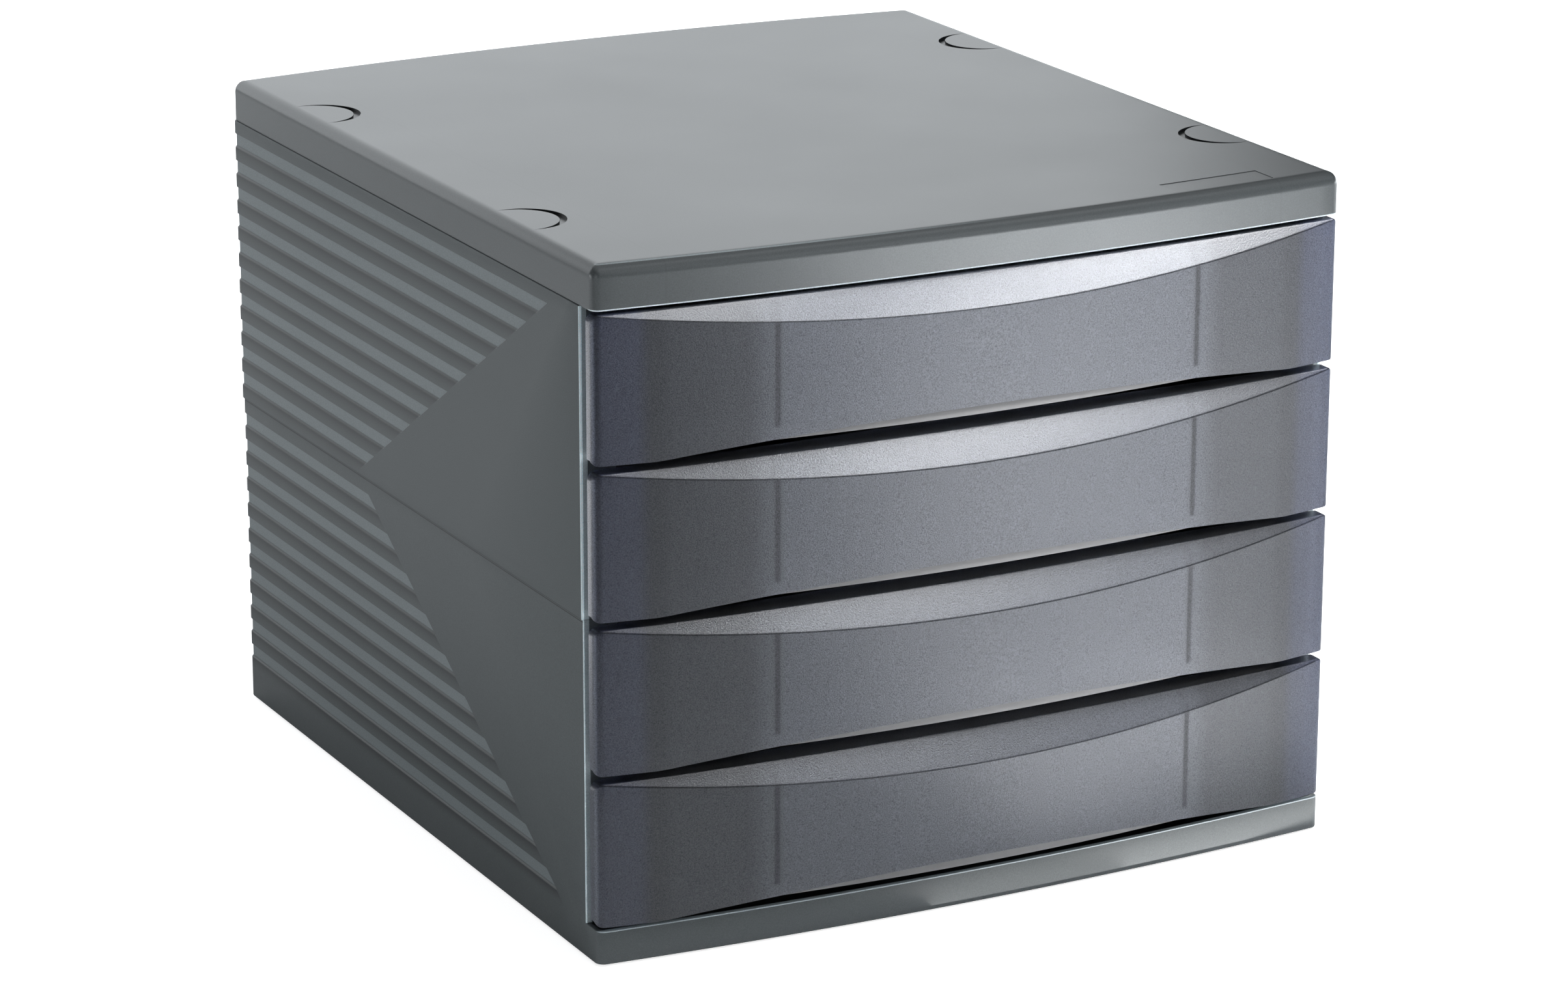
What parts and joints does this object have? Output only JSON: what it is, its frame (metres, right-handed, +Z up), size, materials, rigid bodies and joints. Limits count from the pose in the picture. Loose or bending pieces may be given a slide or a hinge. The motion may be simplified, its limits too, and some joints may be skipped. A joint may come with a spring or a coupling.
{
  "type": "letter tray stack with drawers",
  "caption": "Closed stack of drawers for A4 or letter paper, with bowed translucent fronts, arched finger pulls, ribbed side walls and a cover with stacking crescents.",
  "frame": {"origin": "on the desk, under the middle of the stack's bounding box", "axes": "+Z up, +Y from the drawer fronts to the back, +X to the right seen from the front"},
  "size_m": [0.296, 0.3426, 0.25],
  "materials": {
    "cover_grey": "fine grained grey polystyrene",
    "shell_grey": "satin dark grey polystyrene",
    "front_smoke": "smoke grey translucent polystyrene, fine grained",
    "tray_smoke": "smoke grey polystyrene",
    "dark_plastic": "plain dark grey plastic",
    "foot_rubber": "matte black"
  },
  "bodies": {
    "casing": {"top_cover": "cover_grey", "upper_shell": "shell_grey", "lower_shell": "shell_grey", "shell_dowels": "dark_plastic", "cover_dowels": "dark_plastic", "foot_front_left": "foot_rubber", "foot_front_right": "foot_rubber", "foot_rear_left": "foot_rubber", "foot_rear_right": "foot_rubber", "runner_1_left": "dark_plastic", "runner_1_right": "dark_plastic", "runner_2_left": "dark_plastic", "runner_2_right": "dark_plastic", "runner_3_left": "dark_plastic", "runner_3_right": "dark_plastic", "runner_4_left": "dark_plastic", "runner_4_right": "dark_plastic"},
    "drawer_1": {"drawer_1_tray": "tray_smoke", "drawer_1_front": "front_smoke"},
    "drawer_2": {"drawer_2_tray": "tray_smoke", "drawer_2_front": "front_smoke"},
    "drawer_3": {"drawer_3_tray": "tray_smoke", "drawer_3_front": "front_smoke"},
    "drawer_4": {"drawer_4_tray": "tray_smoke", "drawer_4_front": "front_smoke"}
  },
  "joints": [
    {"name": "drawer_1_slide", "type": "slide", "parent": "casing", "child": "drawer_1", "axis": [0, -1, 0], "range_m": [0, 0.25]},
    {"name": "drawer_2_slide", "type": "slide", "parent": "casing", "child": "drawer_2", "axis": [0, -1, 0], "range_m": [0, 0.25]},
    {"name": "drawer_3_slide", "type": "slide", "parent": "casing", "child": "drawer_3", "axis": [0, -1, 0], "range_m": [0, 0.25]},
    {"name": "drawer_4_slide", "type": "slide", "parent": "casing", "child": "drawer_4", "axis": [0, -1, 0], "range_m": [0, 0.25]}
  ]
}
